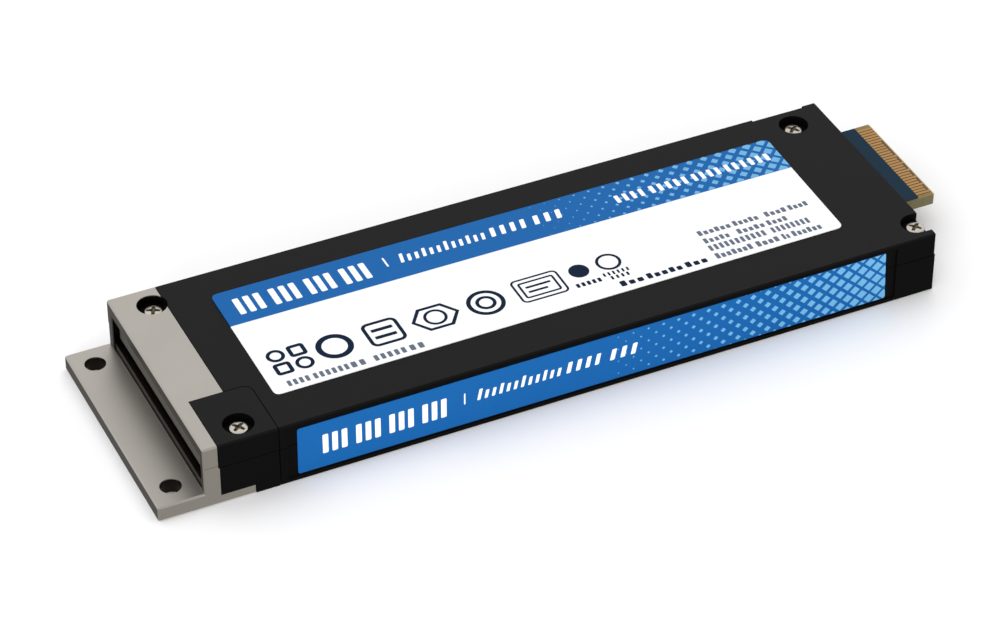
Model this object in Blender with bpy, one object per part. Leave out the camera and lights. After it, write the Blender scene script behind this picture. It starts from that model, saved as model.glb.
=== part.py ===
"""Ruler-shaped solid state drive in a slim metal case with an end bracket and a card edge.

Lengths are in metres. X runs from the bracket's flange to the card edge, Z is up, and the origin is the
centre of the underside of the whole part. Distances called "reach" or "setback" are measured along X.
"""
import math

import bmesh
import bpy

MM = 0.001

# Case
CASE_LENGTH = 105.2 * MM         # bracket's front face to the end of the cover
CASE_WIDTH = 33.75 * MM
CASE_HEIGHT = 9.35 * MM          # without the label
COVER_PLATE = 1.2 * MM
FLOOR_PLATE = 1.2 * MM
SIDE_WALL = 1.0 * MM
END_WALL = 1.2 * MM
SEAM_HEIGHT = 5.8 * MM           # middle of the joint between cover and lower case
SEAM_GAP = 0.1 * MM
CASE_CORNER = 0.3 * MM
CASE_CHAMFER = 0.22 * MM         # along the long top edges
CASE_END_CHAMFER = 0.1 * MM      # along the cover's end
CASE_LOWER_CHAMFER = 0.1 * MM
LOWER_END_STEP = 0.15 * MM       # lower case beyond the end of the cover

# End bracket
FLANGE_REACH = 6.3 * MM
FLANGE_THICKNESS = 2.2 * MM
FLANGE_HOLE = 2.86 * MM          # diameter
FLANGE_HOLE_SETBACK = 3.25 * MM  # in front of the bracket's front face
FLANGE_HOLE_INSET = 3.4 * MM     # from each side of the flange
FRONT_WALL = 2.0 * MM            # above the joint
WALL_STEP = 0.2 * MM             # thicker below the joint
NEAR_POST = 0.9 * MM
FAR_POST = 1.55 * MM
FAR_POST_RELIEF = 0.4 * MM
LINTEL = 1.6 * MM                # front wall above the window
SILL_DROP = 0.5 * MM             # window's sill below the board's lower face
SILL_SETBACK = 0.25 * MM         # behind the front face
ROOF_REACH = 6.7 * MM
ROOF_PLATE = 0.9 * MM
SHELF_REACH = 6.85 * MM
SHELF_THICKNESS = 1.33 * MM
BRACKET_BEVEL = 0.22 * MM        # along the outer edges

# Corner block
BLOCK_REACH = 10.25 * MM
BLOCK_WIDTH = 9.7 * MM
BLOCK_CORNER = 1.2 * MM

# Screws
COUNTERBORE = 4.1 * MM           # diameter
COUNTERBORE_DEPTH = 1.35 * MM
HEAD = 2.5 * MM                  # diameter
HEAD_HEIGHT = 0.85 * MM
HEAD_DOME = 0.2 * MM             # part of the height that is domed
SHANK = 1.6 * MM                 # diameter
SHANK_CLEARANCE = 0.1 * MM       # all round, in each hole
SCREW_END_HEIGHT = 2.2 * MM
PILOT_EXTRA = 0.4 * MM           # hole depth beyond the screw's end
RECESS_SPAN = 1.85 * MM
RECESS_SLOT = 0.4 * MM
RECESS_DEPTH = 0.4 * MM
BOSS = 5.8 * MM                  # diameter
POST = 4.6 * MM                  # diameter
FAR_SCREW_INSET = 3.575 * MM     # from the far side
BLOCK_SCREW_INSET = 3.08 * MM    # from the near side
NEAR_END_SCREW_INSET = 3.2 * MM  # from the near side
BRACKET_SCREW_SETBACK = 5.02 * MM
BLOCK_SCREW_SETBACK = 6.1 * MM
FAR_END_SCREW_SETBACK = 5.2 * MM    # from the end of the case
NEAR_END_SCREW_SETBACK = 1.4 * MM   # from the end of the case

# Recesses in the case's sides
LABEL_RECESS_DEPTH = 0.22 * MM
LABEL_RECESS_START = 11.4 * MM
LABEL_RECESS_SETBACK = 5.9 * MM     # from the end of the case
LABEL_RECESS_LOWER = 0.6 * MM       # above the underside
LABEL_RECESS_UPPER = 0.72 * MM      # below the top
FAR_RECESS_DEPTH = 0.5 * MM
FAR_RECESS_LENGTH = 8.0 * MM
FAR_RECESS_SETBACK = 1.95 * MM

# Circuit board
BOARD_THICKNESS = 1.57 * MM
BOARD_SIDE_GAP = 0.125 * MM
BOARD_END_GAP = 0.1 * MM
BOARD_SETBACK = 0.96 * MM        # behind the bracket's front face
WINDOW_GAP = 0.2 * MM            # board to the bracket's posts
TAB_REACH = 7.25 * MM            # card edge beyond the cover
TAB_FAR_INSET = 3.275 * MM       # card edge's far side, from the far side of the case
TAB_MARGIN = 0.7 * MM            # each side of the row of fingers
TAB_CORNER = 0.25 * MM
TAB_BEVEL = 0.12 * MM
TAB_CLEARANCE = 0.3 * MM
MASK_THICKNESS = 0.08 * MM
MASK_INSET = 0.1 * MM

# Contact fingers
FINGERS_PER_SIDE = 28
FINGER_PITCH = 0.6 * MM
FINGER_WIDTH = 0.45 * MM
FINGER_THICKNESS = 0.05 * MM
FINGER_TIP_SETBACK = 0.25 * MM   # long fingers, from the card edge's tip
SHORT_FINGER_STEP = 0.35 * MM
FINGER_BARE_LENGTH = 2.2 * MM
FINGER_ROOT = 0.25 * MM          # length that runs under the solder mask
FINGER_TIE = 0.2 * MM            # strip that joins the roots
MASK_TUNNEL_GAP = 0.005 * MM     # over the roots

# Parts on the board, in columns that start behind the corner block
CHIP_GAP = 0.6 * MM
CAPACITOR_COLUMNS = 2
CAPACITOR_ROWS = 3
CAPACITOR_LENGTH = 4.3 * MM      # lengths run along the drive and widths across it
CAPACITOR_WIDTH = 7.3 * MM
CAPACITOR_HEIGHT = 1.5 * MM
CAPACITOR_CORNER = 0.25 * MM
FLASH_COLUMNS = 2
FLASH_LENGTH = 18.0 * MM
FLASH_WIDTH = 12.0 * MM
FLASH_HEIGHT = 1.2 * MM
CONTROLLER_SIZE = 14.0 * MM
CONTROLLER_HEIGHT = 1.4 * MM
MEMORY_LENGTH = 11.0 * MM
MEMORY_WIDTH = 7.5 * MM
MEMORY_HEIGHT = 1.0 * MM
POWER_CHIP_SIZE = 5.0 * MM
POWER_CHIP_HEIGHT = 0.8 * MM
INDUCTOR_SIZE = 4.6 * MM
INDUCTOR_HEIGHT = 1.5 * MM
INDUCTOR_CORNER = 0.6 * MM
CHIP_MARK = 0.8 * MM             # diameter of the dimple by pin one, and its distance from the edges
CHIP_MARK_DEPTH = 0.1 * MM

# Labels
LABEL_SHEET = 0.1 * MM
BAND_SHEET = 0.05 * MM
TOP_LABEL_START = 12.5 * MM
TOP_LABEL_SETBACK = 10.45 * MM   # from the end of the case
TOP_LABEL_FAR_INSET = 5.3 * MM
TOP_LABEL_NEAR_INSET = 6.4 * MM
TOP_LABEL_CORNER = 1.8 * MM
BAND_WIDTH = 7.0 * MM
SIDE_LABEL_END_MARGIN = 1.5 * MM   # label to each end of its recess
SIDE_LABEL_LOWER_MARGIN = 0.26 * MM
SIDE_LABEL_UPPER_MARGIN = 0.42 * MM
SIDE_LABEL_CORNER = 0.4 * MM

# Facets
CIRCLE_SEGMENTS = 32
ARC_SEGMENTS = 6
DOME_RINGS = 5
OVERCUT = 1.0 * MM               # how far a cutter runs past the face that it opens

# Derived positions
OVERALL_LENGTH = FLANGE_REACH + CASE_LENGTH + TAB_REACH
FRONT_X = FLANGE_REACH - OVERALL_LENGTH / 2
END_X = FRONT_X + CASE_LENGTH
TIP_X = END_X + TAB_REACH
SIDE_Y = CASE_WIDTH / 2
INNER_Y = SIDE_Y - SIDE_WALL
COVER_UNDERSIDE = CASE_HEIGHT - COVER_PLATE
SEAT_Z = CASE_HEIGHT - COUNTERBORE_DEPTH
UPPER_SEAM = SEAM_HEIGHT + SEAM_GAP / 2
LOWER_SEAM = SEAM_HEIGHT - SEAM_GAP / 2
BOARD_TOP = CASE_HEIGHT / 2 + BOARD_THICKNESS / 2
BOARD_UNDERSIDE = BOARD_TOP - BOARD_THICKNESS
UPPER_MASK = BOARD_TOP + MASK_THICKNESS
LOWER_MASK = BOARD_UNDERSIDE - MASK_THICKNESS
BOARD_Y = INNER_Y - BOARD_SIDE_GAP
BOARD_START_X = FRONT_X + BOARD_SETBACK
BOARD_END_X = END_X - END_WALL - BOARD_END_GAP
BLOCK_EDGE_Y = BLOCK_WIDTH - SIDE_Y
WINDOW_NEAR_Y = NEAR_POST - SIDE_Y
WINDOW_FAR_Y = SIDE_Y - FAR_POST
WALL_BACK_X = FRONT_X + FRONT_WALL
WALL_FOOT_X = WALL_BACK_X + WALL_STEP
SILL_Z = LOWER_MASK - SILL_DROP
FINGER_OPEN_X = TIP_X - FINGER_TIP_SETBACK - FINGER_BARE_LENGTH
FINGER_ROW = FINGERS_PER_SIDE * FINGER_PITCH
TAB_FAR_Y = SIDE_Y - TAB_FAR_INSET
TAB_NEAR_Y = TAB_FAR_Y - FINGER_ROW - 2 * TAB_MARGIN
TAB_MIDDLE_Y = (TAB_NEAR_Y + TAB_FAR_Y) / 2
RECESS_START_X = FRONT_X + LABEL_RECESS_START
RECESS_END_X = END_X - LABEL_RECESS_SETBACK
PILOT_BOTTOM = SCREW_END_HEIGHT - PILOT_EXTRA
LOWER_END_X = END_X + LOWER_END_STEP
FAR_SCREW_Y = SIDE_Y - FAR_SCREW_INSET
BRACKET_SCREW = (FRONT_X + BRACKET_SCREW_SETBACK, FAR_SCREW_Y)
BLOCK_SCREW = (FRONT_X + BLOCK_SCREW_SETBACK, BLOCK_SCREW_INSET - SIDE_Y)
FAR_END_SCREW = (END_X - FAR_END_SCREW_SETBACK, FAR_SCREW_Y)
NEAR_END_SCREW = (END_X - NEAR_END_SCREW_SETBACK, NEAR_END_SCREW_INSET - SIDE_Y)
SCREWS = (BRACKET_SCREW, BLOCK_SCREW, FAR_END_SCREW, NEAR_END_SCREW)


# Plain shapes

def new_object(name, verts, faces):
    mesh = bpy.data.meshes.new(name)
    mesh.from_pydata(verts, [], faces)
    obj = bpy.data.objects.new(name, mesh)
    bpy.context.scene.collection.objects.link(obj)
    return obj


def loft(name, loops):
    """Closed body through rings of equally many points, each ring counter-clockwise seen from above."""
    count = len(loops[0])
    verts = [point for loop in loops for point in loop]
    faces = [tuple(reversed(range(count)))]
    for ring in range(len(loops) - 1):
        low = ring * count
        for i in range(count):
            j = (i + 1) % count
            faces.append((low + i, low + j, low + count + j, low + count + i))
    top = (len(loops) - 1) * count
    faces.append(tuple(range(top, top + count)))
    return new_object(name, verts, faces)


def prism(name, outline, z0, z1):
    return loft(name, [[(x, y, z) for x, y in outline] for z in (z0, z1)])


def box(name, x0, x1, y0, y1, z0, z1):
    return prism(name, [(x0, y0), (x1, y0), (x1, y1), (x0, y1)], z0, z1)


def circle(x, y, radius):
    steps = [2 * math.pi * i / CIRCLE_SEGMENTS for i in range(CIRCLE_SEGMENTS)]
    return [(x + radius * math.cos(a), y + radius * math.sin(a)) for a in steps]


def cylinder(name, centre, diameter, z0, z1):
    return prism(name, circle(*centre, diameter / 2), z0, z1)


def rounded(x0, x1, y0, y1, radii):
    """Rectangle whose corners, counter-clockwise from the low X and Y one, have the four radii given."""
    corners = ((x0, y0, 1, 1), (x1, y0, -1, 1), (x1, y1, -1, -1), (x0, y1, 1, -1))
    outline = []
    for i, (x, y, sx, sy) in enumerate(corners):
        r = radii[i]
        if r <= 0:
            outline.append((x, y))
            continue
        start = math.pi * (1 + i / 2)
        for step in range(ARC_SEGMENTS + 1):
            a = start + math.pi / 2 * step / ARC_SEGMENTS
            outline.append((x + sx * r + r * math.cos(a), y + sy * r + r * math.sin(a)))
    return outline


def case_block(name, x0, x1, z0, z1, lower_chamfer, upper_chamfer):
    """Case-wide block with round corners, chamfered along its lower or its upper edge."""
    levels = [(z0, lower_chamfer), (z0 + lower_chamfer, 0), (z1 - upper_chamfer, 0), (z1, upper_chamfer)]
    loops = []
    for z, inset in levels:
        if loops and z == loops[-1][0][2]:
            continue
        radius = CASE_CORNER - inset / 2
        end_inset = min(inset, CASE_END_CHAMFER)
        outline = rounded(x0 + inset, x1 - end_inset, inset - SIDE_Y, SIDE_Y - inset, [radius] * 4)
        loops.append([(x, y, z) for x, y in outline])
    return loft(name, loops)


def side_profile(name, profile, y0, y1):
    """Body between two Y values; its outline in X and Z is counter-clockwise seen from the near side."""
    count = len(profile)
    verts = [(x, y0, z) for x, z in profile] + [(x, y1, z) for x, z in profile]
    faces = [tuple(range(count)), tuple(reversed(range(count, 2 * count)))]
    for i in range(count):
        j = (i + 1) % count
        faces.append((j, i, count + i, count + j))
    return new_object(name, verts, faces)


# Joining and cutting

def apply_modifiers(body):
    depsgraph = bpy.context.evaluated_depsgraph_get()
    mesh = bpy.data.meshes.new_from_object(body.evaluated_get(depsgraph))
    body.modifiers.clear()
    body.data = mesh
    mesh.name = body.name


def combine(body, operation, tools):
    for tool in tools:
        modifier = body.modifiers.new(tool.name, "BOOLEAN")
        modifier.operation = operation
        modifier.solver = "EXACT"
        modifier.object = tool
    apply_modifiers(body)
    for tool in tools:
        bpy.data.objects.remove(tool)
    return body


def fuse(body, *tools):
    return combine(body, "UNION", tools)


def cut(body, *tools):
    return combine(body, "DIFFERENCE", tools)


# Finishes

def linear(value):
    return value / 12.92 if value <= 0.04045 else ((value + 0.055) / 1.055) ** 2.4


def finish(name, rgb, roughness, metallic=0.0):
    material = bpy.data.materials.new(name)
    material.use_nodes = True
    shader = material.node_tree.nodes["Principled BSDF"]
    colour = tuple(linear(channel / 255) for channel in rgb) + (1.0,)
    shader.inputs["Base Color"].default_value = colour
    shader.inputs["Roughness"].default_value = roughness
    shader.inputs["Metallic"].default_value = metallic
    material.diffuse_color = colour
    return material


def dress(obj, material):
    obj.data.materials.clear()
    obj.data.materials.append(material)
    obj.data.shade_smooth()
    obj.data.set_sharp_from_angle(angle=math.radians(30))
    return obj


# Cutters that more than one piece shares

def counterbore(centre):
    return cylinder("counterbore", centre, COUNTERBORE, SEAT_Z, CASE_HEIGHT + OVERCUT)


def shank_hole(centre):
    """Clearance round a screw's shank, from the bottom of its pilot hole up to the top."""
    return cylinder("shank_hole", centre, SHANK + 2 * SHANK_CLEARANCE, PILOT_BOTTOM, CASE_HEIGHT)


def label_recess():
    return box("label_recess", RECESS_START_X, RECESS_END_X, -SIDE_Y - OVERCUT,
               -SIDE_Y + LABEL_RECESS_DEPTH, LABEL_RECESS_LOWER, CASE_HEIGHT - LABEL_RECESS_UPPER)


def block_room():
    """Space that the corner block takes out of its neighbours, with the joint's gap."""
    outline = rounded(FRONT_X, FRONT_X + BLOCK_REACH + SEAM_GAP, -SIDE_Y - OVERCUT, BLOCK_EDGE_Y,
                      (0, 0, BLOCK_CORNER + SEAM_GAP, 0))
    return prism("block_room", outline, -OVERCUT, CASE_HEIGHT + OVERCUT)


def tab_opening():
    return box("tab_opening", END_X - END_WALL - OVERCUT, END_X + OVERCUT,
               TAB_NEAR_Y - TAB_CLEARANCE, TAB_FAR_Y + TAB_CLEARANCE,
               BOARD_UNDERSIDE - TAB_CLEARANCE, BOARD_TOP + TAB_CLEARANCE)


def boss(centre, side, x0, x1, top):
    """Foot that stands on the board round a screw, clear of the lower case, and its tie to the side wall."""
    inner = INNER_Y - SEAM_GAP
    y0, y1 = sorted((centre[1] - side * BOSS / 2, side * inner))
    free = (BLOCK_CORNER, BLOCK_CORNER, 0, 0) if side > 0 else (0, 0, BLOCK_CORNER, BLOCK_CORNER)
    foot = prism("foot", rounded(x0, x1, y0, y1, free), UPPER_MASK, top)
    y0, y1 = sorted((side * (inner - SEAM_GAP), side * (INNER_Y + SIDE_WALL / 2)))
    return foot, box("tie", x0 + SEAM_GAP, x1 - SEAM_GAP, y0, y1, max(UPPER_SEAM, UPPER_MASK), top)


# End bracket

def bracket_body():
    """One milled profile of flange, front wall, roof and shelf, with its outer edges taken off."""
    flange_x = FRONT_X - FLANGE_REACH
    shelf_x = FRONT_X + SHELF_REACH
    roof_x = FRONT_X + ROOF_REACH
    outer = [(roof_x, CASE_HEIGHT), (FRONT_X, CASE_HEIGHT), (FRONT_X, FLANGE_THICKNESS),
             (flange_x, FLANGE_THICKNESS), (flange_x, 0), (shelf_x, 0)]
    inner = [(shelf_x, SHELF_THICKNESS), (WALL_BACK_X, SHELF_THICKNESS),
             (WALL_BACK_X, CASE_HEIGHT - ROOF_PLATE), (roof_x, CASE_HEIGHT - ROOF_PLATE)]
    body = side_profile("end_bracket", outer + inner, -SIDE_Y, SIDE_Y)
    count = len(outer) + len(inner)
    chosen = {frozenset((side + i, side + i + 1)) for side in (0, count) for i in range(len(outer) - 1)}
    chosen |= {frozenset((i, count + i)) for i in (1, 3, 4)}  # corners that stand out, from side to side
    work = bmesh.new()
    work.from_mesh(body.data)
    edges = [edge for edge in work.edges if frozenset(vert.index for vert in edge.verts) in chosen]
    bmesh.ops.bevel(work, geom=edges, offset=BRACKET_BEVEL, segments=1, affect="EDGES")
    work.to_mesh(body.data)
    work.free()
    return body


def make_end_bracket():
    body = bracket_body()
    roof_edge = FRONT_X + ROOF_REACH
    fuse(body, box("wall_foot", WALL_BACK_X - FRONT_WALL / 2, WALL_FOOT_X, -SIDE_Y, SIDE_Y,
                   SHELF_THICKNESS / 2, LOWER_SEAM))
    window = box("window", FRONT_X - OVERCUT, WALL_FOOT_X + OVERCUT, WINDOW_NEAR_Y, WINDOW_FAR_Y,
                 SILL_Z, CASE_HEIGHT - LINTEL)
    sill_front = box("sill_front", FRONT_X - OVERCUT, FRONT_X + SILL_SETBACK, WINDOW_NEAR_Y, WINDOW_FAR_Y,
                     FLANGE_THICKNESS, (SILL_Z + CASE_HEIGHT) / 2)
    notch = box("notch", WALL_BACK_X, roof_edge + OVERCUT, -SIDE_Y - OVERCUT, BLOCK_EDGE_Y,
                SEAM_HEIGHT, CASE_HEIGHT + OVERCUT)
    relief = box("relief", FRONT_X - OVERCUT, WALL_FOOT_X + OVERCUT, SIDE_Y - FAR_POST_RELIEF,
                 SIDE_Y + OVERCUT, FLANGE_THICKNESS, LOWER_SEAM)
    cut(body, window, sill_front, notch, relief)
    skirt = box("skirt", WALL_BACK_X - OVERCUT / 2, roof_edge, INNER_Y, SIDE_Y,
                UPPER_SEAM, CASE_HEIGHT - ROOF_PLATE / 2)
    fuse(body, skirt, *boss(BRACKET_SCREW, 1, BRACKET_SCREW[0] - BOSS / 2, roof_edge,
                            CASE_HEIGHT - ROOF_PLATE / 2))
    holes = [cylinder("flange_hole", (FRONT_X - FLANGE_HOLE_SETBACK, side * (SIDE_Y - FLANGE_HOLE_INSET)),
                      FLANGE_HOLE, -OVERCUT, FLANGE_THICKNESS + OVERCUT) for side in (-1, 1)]
    cut(body, counterbore(BRACKET_SCREW), shank_hole(BRACKET_SCREW), *holes)
    return dress(body, finish("satin_bracket", (178, 172, 165), 0.42, 1.0))


# Upper cover

def make_top_cover(black):
    body = case_block("top_cover", FRONT_X, END_X, UPPER_SEAM, CASE_HEIGHT, 0, CASE_CHAMFER)
    inside = box("inside", FRONT_X - OVERCUT, END_X - END_WALL, -INNER_Y, INNER_Y,
                 UPPER_SEAM - OVERCUT, COVER_UNDERSIDE)
    front = box("front", FRONT_X - OVERCUT, FRONT_X + ROOF_REACH + SEAM_GAP, -SIDE_Y - OVERCUT,
                SIDE_Y + OVERCUT, UPPER_SEAM - OVERCUT, CASE_HEIGHT + OVERCUT)
    cut(body, inside, front, block_room())
    top = COVER_UNDERSIDE + COVER_PLATE / 2
    far_x = FAR_END_SCREW[0]
    x, y = NEAR_END_SCREW
    inner_x = END_X - END_WALL - SEAM_GAP
    bosses = boss(FAR_END_SCREW, 1, far_x - BOSS / 2, far_x + BOSS / 2, top)
    bosses += boss(NEAR_END_SCREW, -1, x - BOSS / 2, inner_x, top)
    end_tie = box("end_tie", inner_x - SEAM_GAP, END_X - END_WALL / 2,
                  -INNER_Y - SIDE_WALL / 2, y + BOSS / 2 - SEAM_GAP, UPPER_SEAM, top)
    ledge_x = FRONT_X + ROOF_REACH + SEAM_GAP
    ledge = box("ledge", ledge_x, ledge_x + COUNTERBORE / 2, FAR_SCREW_Y - COUNTERBORE / 2,
                INNER_Y + SIDE_WALL / 2, max(UPPER_SEAM, UPPER_MASK), top)
    fuse(body, *bosses, end_tie, ledge)
    slot = box("slot", x, END_X + OVERCUT, y - COUNTERBORE / 2, y + COUNTERBORE / 2, SEAT_Z,
               CASE_HEIGHT + OVERCUT)
    cut(body, counterbore(BRACKET_SCREW), counterbore(FAR_END_SCREW), counterbore(NEAR_END_SCREW), slot)
    shanks = [shank_hole(centre) for centre in (BRACKET_SCREW, FAR_END_SCREW, NEAR_END_SCREW)]
    far_recess_end = END_X - FAR_RECESS_SETBACK
    far_recess = box("far_recess", far_recess_end - FAR_RECESS_LENGTH, far_recess_end,
                     SIDE_Y - FAR_RECESS_DEPTH, SIDE_Y + OVERCUT, UPPER_SEAM - OVERCUT, CASE_HEIGHT + OVERCUT)
    cut(body, label_recess(), tab_opening(), far_recess, *shanks)
    return dress(body, black)


# Lower case

def make_bottom_case(black):
    body = case_block("bottom_case", FRONT_X, LOWER_END_X, 0, LOWER_SEAM, CASE_LOWER_CHAMFER, 0)
    inside = box("inside", FRONT_X - OVERCUT, END_X - END_WALL, -INNER_Y, INNER_Y,
                 FLOOR_PLATE, LOWER_SEAM + OVERCUT)
    floor_x = FRONT_X + SHELF_REACH + SEAM_GAP
    front = box("front", FRONT_X - OVERCUT, floor_x, -SIDE_Y - OVERCUT, SIDE_Y + OVERCUT,
                -OVERCUT, LOWER_SEAM + OVERCUT)
    cut(body, inside, front, block_room())
    embed = FLOOR_PLATE / 2
    tongue_x = WALL_FOOT_X + SEAM_GAP
    tongue_near = BLOCK_EDGE_Y + SEAM_GAP
    tongue_z = SHELF_THICKNESS + SIDE_WALL
    tongue = box("tongue", tongue_x, floor_x + SIDE_WALL, tongue_near, INNER_Y + SIDE_WALL / 2,
                 SHELF_THICKNESS, tongue_z)
    root = box("root", floor_x, floor_x + 2 * SIDE_WALL, tongue_near, INNER_Y + SIDE_WALL / 2, embed,
               tongue_z)
    far_wall = box("far_wall", tongue_x, floor_x + SIDE_WALL, INNER_Y, SIDE_Y, SHELF_THICKNESS, LOWER_SEAM)
    bracket_post = cylinder("bracket_post", BRACKET_SCREW, POST, SHELF_THICKNESS + SIDE_WALL / 2, LOWER_MASK)
    far_post = cylinder("far_post", FAR_END_SCREW, BOSS, embed, LOWER_MASK)
    x, y = NEAR_END_SCREW
    near_post = prism("near_post", rounded(x - BOSS / 2, END_X - END_WALL / 2, -INNER_Y - SIDE_WALL / 2,
                                           y + BOSS / 2, (0, 0, 0, BLOCK_CORNER)), embed, LOWER_MASK)
    fuse(body, tongue, root, far_wall, bracket_post, far_post, near_post)
    pilots = [shank_hole(centre) for centre in (BRACKET_SCREW, FAR_END_SCREW, NEAR_END_SCREW)]
    cut(body, label_recess(), tab_opening(), *pilots)
    return dress(body, black)


# Corner block in two halves, which meet at the same joint as cover and lower case

def block_outline(wall_x):
    return rounded(wall_x + SEAM_GAP, FRONT_X + BLOCK_REACH, -SIDE_Y, BLOCK_EDGE_Y - SEAM_GAP,
                   (0, 0, BLOCK_CORNER, 0))


def near_edge_wedge():
    """Takes the corner off the block's top edge on the near side, in line with the cover's."""
    past = OVERCUT / 2
    triangle = [(-SIDE_Y - past, CASE_HEIGHT - CASE_CHAMFER - past),
                (-SIDE_Y + CASE_CHAMFER + past, CASE_HEIGHT + past), (-SIDE_Y - past, CASE_HEIGHT + past)]
    ends = (FRONT_X, FRONT_X + BLOCK_REACH + OVERCUT)
    return loft("near_edge_wedge", [[(x, y, z) for y, z in triangle] for x in ends])


def make_corner_cap(black):
    body = prism("corner_cap", block_outline(WALL_BACK_X), UPPER_SEAM, CASE_HEIGHT)
    pocket = box("pocket", WALL_BACK_X + SEAM_GAP + SIDE_WALL, FRONT_X + BLOCK_REACH - SIDE_WALL,
                 -INNER_Y, BLOCK_EDGE_Y - SEAM_GAP - SIDE_WALL, UPPER_SEAM - OVERCUT, COVER_UNDERSIDE)
    board_room = box("board_room", FRONT_X, FRONT_X + BLOCK_REACH + OVERCUT, -INNER_Y, SIDE_Y,
                     LOWER_MASK, UPPER_MASK)
    cut(body, pocket, board_room)
    fuse(body, *boss(BLOCK_SCREW, -1, WALL_BACK_X + SEAM_GAP + SIDE_WALL / 2,
                     FRONT_X + BLOCK_REACH - SIDE_WALL / 2, COVER_UNDERSIDE + COVER_PLATE / 2))
    cut(body, counterbore(BLOCK_SCREW), shank_hole(BLOCK_SCREW), near_edge_wedge())
    return dress(body, black)


def make_corner_base(black):
    body = prism("corner_base", block_outline(WALL_FOOT_X), 0, LOWER_SEAM)
    shelf_room = box("shelf_room", FRONT_X, FRONT_X + SHELF_REACH + SEAM_GAP, -SIDE_Y - OVERCUT, SIDE_Y,
                     -OVERCUT, SHELF_THICKNESS)
    board_room = box("board_room", FRONT_X, FRONT_X + BLOCK_REACH + OVERCUT, -INNER_Y, SIDE_Y,
                     LOWER_MASK, LOWER_SEAM + OVERCUT)
    cut(body, shelf_room, board_room, shank_hole(BLOCK_SCREW))
    return dress(body, black)


# Circuit board

def board_outline(inset, end_x):
    """Board with its card edge, set in all round; end_x is where the card edge stops."""
    near, far = inset - BOARD_Y, BOARD_Y - inset
    front_near = max(near, WINDOW_NEAR_Y + WINDOW_GAP + inset)
    front_far = min(far, WINDOW_FAR_Y - WINDOW_GAP - inset)
    start, step = BOARD_START_X + inset, WALL_FOOT_X + WINDOW_GAP + inset
    end, corner = BOARD_END_X - inset, TAB_CORNER
    tab_near, tab_far = TAB_NEAR_Y + inset, TAB_FAR_Y - inset
    outline = [(start, front_near)]
    if front_near > near:
        outline += [(step, front_near), (step, near)]
    outline += [(end, near), (end, tab_near), (end_x - corner, tab_near), (end_x, tab_near + corner),
                (end_x, tab_far - corner), (end_x - corner, tab_far), (end, tab_far), (end, far)]
    if front_far < far:
        outline += [(step, far), (step, front_far)]
    return outline + [(start, front_far)]


def screw_notches(diameter, z0, z1):
    """Holes for the screws; the one at the near end runs out through the board's edge."""
    holes = [cylinder("screw_hole", centre, diameter, z0, z1) for centre in SCREWS]
    x, y = NEAR_END_SCREW
    holes.append(box("notch", x, BOARD_END_X + OVERCUT / 2, y - diameter / 2, y + diameter / 2, z0, z1))
    return holes


def tip_bevel(z, direction):
    """Wedge that takes the corner off the card edge's tip, above or below the board."""
    past = OVERCUT / 2
    slope = [(TIP_X - TAB_BEVEL - past, z + direction * past),
             (TIP_X + past, z - direction * (TAB_BEVEL + past)), (TIP_X + past, z + direction * past)]
    if direction < 0:
        slope.reverse()
    return side_profile("bevel", slope, -SIDE_Y, SIDE_Y)


def make_circuit_board():
    body = prism("circuit_board", board_outline(0, TIP_X), BOARD_UNDERSIDE, BOARD_TOP)
    cut(body, tip_bevel(BOARD_TOP, 1), tip_bevel(BOARD_UNDERSIDE, -1),
        *screw_notches(SHANK + 4 * SHANK_CLEARANCE, BOARD_UNDERSIDE - OVERCUT, BOARD_TOP + OVERCUT))
    return dress(body, finish("bare_laminate", (150, 138, 92), 0.6))


def make_mask(name, z0, z1, board_face):
    """Solder mask on one side, with a shallow tunnel over the fingers' roots."""
    body = prism(name, board_outline(MASK_INSET, FINGER_OPEN_X), z0, z1)
    reach = FINGER_THICKNESS + MASK_TUNNEL_GAP
    inward = z0 if board_face == z0 else z1
    low, high = (inward - OVERCUT, inward + reach) if board_face == z0 else (inward - reach, inward + OVERCUT)
    tunnel = box("tunnel", FINGER_OPEN_X - FINGER_ROOT - 1.5 * FINGER_TIE, FINGER_OPEN_X + OVERCUT,
                 TAB_MIDDLE_Y - FINGER_ROW / 2, TAB_MIDDLE_Y + FINGER_ROW / 2, low, high)
    cut(body, tunnel, *screw_notches(SHANK + 6 * SHANK_CLEARANCE, z0 - OVERCUT, z1 + OVERCUT))
    return dress(body, finish(name, (35, 68, 98), 0.4))


def is_short_finger(number):
    """The standard's order: a power group of six, then pairs of signals between long ground fingers."""
    if number <= 6:
        return False
    return number <= 12 or (number - 13) % 3 != 0


def make_fingers(name, z0, z1, gold):
    """Plated fingers of one side; the strip that joins their roots lies under the solder mask."""
    root = FINGER_OPEN_X - FINGER_ROOT
    first_y = TAB_MIDDLE_Y + (FINGERS_PER_SIDE - 1) / 2 * FINGER_PITCH
    outline = []
    for number in range(FINGERS_PER_SIDE, 0, -1):
        y = first_y - (number - 1) * FINGER_PITCH
        tip = TIP_X - FINGER_TIP_SETBACK - (SHORT_FINGER_STEP if is_short_finger(number) else 0)
        near, far = y - FINGER_WIDTH / 2, y + FINGER_WIDTH / 2
        outline += [(root, near), (tip, near), (tip, far), (root, far)]
    outline[0] = (root - FINGER_TIE, outline[0][1])
    outline[-1] = (root - FINGER_TIE, outline[-1][1])
    return dress(prism(name, outline, z0, z1), gold)


# Parts on the board

CAPACITOR_X = FRONT_X + BLOCK_REACH + CHIP_GAP
FLASH_X = CAPACITOR_X + CAPACITOR_COLUMNS * (CAPACITOR_LENGTH + CHIP_GAP)
CONTROLLER_X = FLASH_X + FLASH_COLUMNS * (FLASH_LENGTH + CHIP_GAP) + CONTROLLER_SIZE / 2
POWER_X = FAR_END_SCREW[0] - BOSS / 2 - CHIP_GAP - POWER_CHIP_SIZE / 2


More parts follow.
